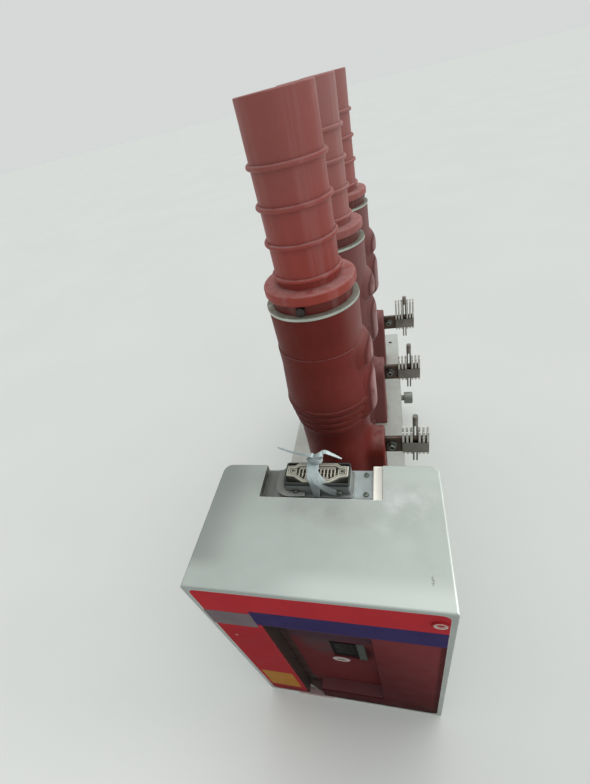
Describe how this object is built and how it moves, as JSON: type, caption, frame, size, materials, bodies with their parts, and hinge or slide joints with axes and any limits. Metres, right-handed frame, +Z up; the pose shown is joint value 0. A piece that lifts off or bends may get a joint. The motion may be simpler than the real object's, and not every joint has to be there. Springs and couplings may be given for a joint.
{
  "type": "vacuum circuit breaker",
  "caption": "Medium-voltage vacuum circuit breaker with upright resin poles in a row on a sheet-steel chassis, sprung contact arms to one side and a boxed mechanism at the front.",
  "frame": {"origin": "on the floor under the middle of the whole breaker's bounding box", "axes": "+X towards the side contact arms, +Y from the front fascia to the rear of the chassis, +Z up"},
  "size_m": [0.37, 0.9424, 1.056],
  "materials": {
    "housing_paint": "satin",
    "fascia_paint": "satin",
    "panel_paint": "satin",
    "window_plastic": "gloss",
    "plug_plastic": "gloss",
    "plated_steel": "satin",
    "cast_metal": "matt",
    "dark_plastic": "matt",
    "insert_plastic": "matt",
    "strap_plastic": "satin",
    "sheet_paint": "satin",
    "barrel_resin": "satin",
    "tube_resin": "matt",
    "contact_silver": "satin",
    "bar_copper": "oxidised",
    "spring_steel": "dark"
  },
  "bodies": {
    "root": {"mechanism_housing": "housing_paint", "front_fascia": "fascia_paint", "control_panel": "panel_paint", "indicator_window": "window_plastic", "corner_tab": "sheet_paint", "fascia_plug": "plug_plastic", "connector_plate": "plated_steel", "notch_trim": "housing_paint", "connector_hood": "cast_metal", "connector_seal": "dark_plastic", "connector_insert": "insert_plastic", "strap_tie": "strap_plastic", "chassis_side_right": "sheet_paint", "chassis_side_left": "sheet_paint", "chassis_top": "sheet_paint", "chassis_rear": "sheet_paint", "guide_studs_right": "plated_steel", "guide_studs_left": "plated_steel", "finger_cages": "spring_steel", "spring_pins": "spring_steel", "barrel_front": "barrel_resin", "clamp_disc_front": "plated_steel", "upper_tube_front": "tube_resin", "upper_contact_front": "contact_silver", "terminal_bar_front": "bar_copper", "contact_fingers_front": "contact_silver", "tube_flange_front": "tube_resin", "barrel_middle": "barrel_resin", "clamp_disc_middle": "plated_steel", "upper_tube_middle": "tube_resin", "upper_contact_middle": "contact_silver", "terminal_bar_middle": "bar_copper", "contact_fingers_middle": "contact_silver", "tube_flange_middle": "tube_resin", "barrel_rear": "barrel_resin", "clamp_disc_rear": "plated_steel", "upper_tube_rear": "tube_resin", "upper_contact_rear": "contact_silver", "terminal_bar_rear": "bar_copper", "contact_fingers_rear": "contact_silver", "tube_flange_rear": "tube_resin"}
  },
  "joints": []
}
